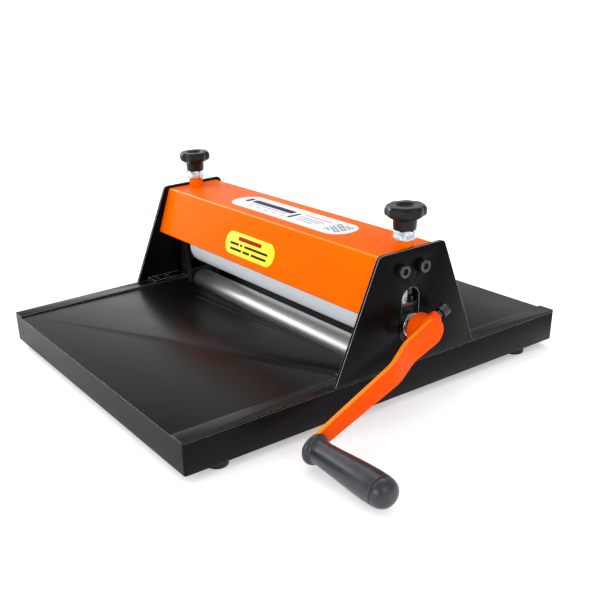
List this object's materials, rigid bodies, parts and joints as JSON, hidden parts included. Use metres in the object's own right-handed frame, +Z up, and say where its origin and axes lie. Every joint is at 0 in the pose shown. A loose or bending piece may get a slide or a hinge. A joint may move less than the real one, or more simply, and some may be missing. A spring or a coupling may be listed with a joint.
{
  "type": "etching press",
  "caption": "Tabletop etching press: flat bed pan, steel lower roller, nylon upper roller under a folded cover, hand screws that set the nip, and a side crank with a turning grip.",
  "frame": {"origin": "on the plane under the feet, midway between the side plates, straight below the rollers' axes", "axes": "+X to the operator's right, towards the crank and along the rollers; +Y away from the operator, along the bed; +Z up"},
  "size_m": [0.5477, 0.482, 0.1997],
  "materials": {
    "black_pan": "semi-gloss black powder coat, fine orange peel",
    "black_plate": "semi-gloss black powder coat",
    "black_inner": "black paint on inner steel parts",
    "orange_cover": "glossy orange powder coat",
    "orange_crank": "glossy orange powder coat",
    "ground_steel": "ground steel, turned marks round the axis",
    "bright_steel": "bright turned steel",
    "zinc": "zinc plated",
    "nylon": "bluish white cast nylon",
    "knob_black": "black moulded plastic",
    "grip_black": "smooth black moulded plastic",
    "black_oxide": "black oxide screw steel",
    "bronze": "sintered bronze",
    "rubber": "black rubber",
    "label_yellow": "yellow printed label",
    "label_white": "white printed label"
  },
  "bodies": {
    "frame": {"base_pan": "black_pan", "rail_left": "black_pan", "rail_right": "black_pan", "under_cross_members": "black_inner", "feet": "rubber", "foot_screws": "zinc", "side_plate_left": "black_plate", "side_plate_right": "black_plate", "flange_screws": "black_oxide", "plate_screws": "black_oxide", "guide_bars_left": "black_inner", "guide_bars_right": "black_inner", "lower_bearing_left": "black_inner", "lower_bearing_right": "black_inner", "lower_bushings": "bronze", "head_beam": "black_inner", "beam_end_blocks": "black_inner", "cover": "orange_cover", "cover_bosses": "orange_cover", "label_front": "label_yellow", "label_top": "label_white"},
    "carriage": {"slide_block_left": "black_inner", "slide_block_right": "black_inner", "upper_bushings": "bronze", "retainer_plates": "zinc", "retainer_screws": "black_oxide"},
    "upper_roller": {"upper_roller_sleeve": "nylon", "upper_shaft": "bright_steel", "shaft_collar": "bright_steel", "shaft_retaining_ring": "black_oxide", "crank_hub": "orange_crank", "crank_arm": "orange_crank", "crank_boss": "orange_crank", "crank_clamp_bolt": "black_oxide", "grip_spindle": "zinc"},
    "lower_roller": {"lower_roller": "ground_steel", "lower_roller_journals": "bright_steel"},
    "knob_left": {"knob_left": "knob_black", "pressure_screw_left": "zinc", "lock_nut_left": "zinc"},
    "knob_right": {"knob_right": "knob_black", "pressure_screw_right": "zinc", "lock_nut_right": "zinc"},
    "grip": {"grip": "grip_black", "grip_end_cap": "grip_black"}
  },
  "joints": [
    {"name": "carriage_lift", "type": "slide", "parent": "frame", "child": "carriage", "axis": [0, 0, 1], "range_m": [0, 0.012]},
    {"name": "upper_roller_spin", "type": "hinge", "parent": "carriage", "child": "upper_roller", "pos_m": [0, 0, 0.0843], "axis": [1, 0, 0], "continuous": true},
    {"name": "lower_roller_spin", "type": "hinge", "parent": "frame", "child": "lower_roller", "pos_m": [0, 0, 0.0265], "axis": [1, 0, 0], "continuous": true},
    {"name": "knob_left_turn", "type": "hinge", "parent": "carriage", "child": "knob_left", "pos_m": [-0.1883, 0, 0.1], "axis": [0, 0, 1], "range_deg": [0, 2469]},
    {"name": "knob_right_turn", "type": "hinge", "parent": "carriage", "child": "knob_right", "pos_m": [0.1883, 0, 0.1], "axis": [0, 0, 1], "range_deg": [0, 2469]},
    {"name": "grip_spin", "type": "hinge", "parent": "upper_roller", "child": "grip", "pos_m": [0.25, -0.1512, 0.01824], "axis": [1, 0, 0], "continuous": true}
  ],
  "couplings": [
    {"joint": "knob_left_turn", "follows": "carriage_lift", "rad_per_m": 3590.4},
    {"joint": "knob_right_turn", "follows": "carriage_lift", "rad_per_m": 3590.4}
  ]
}
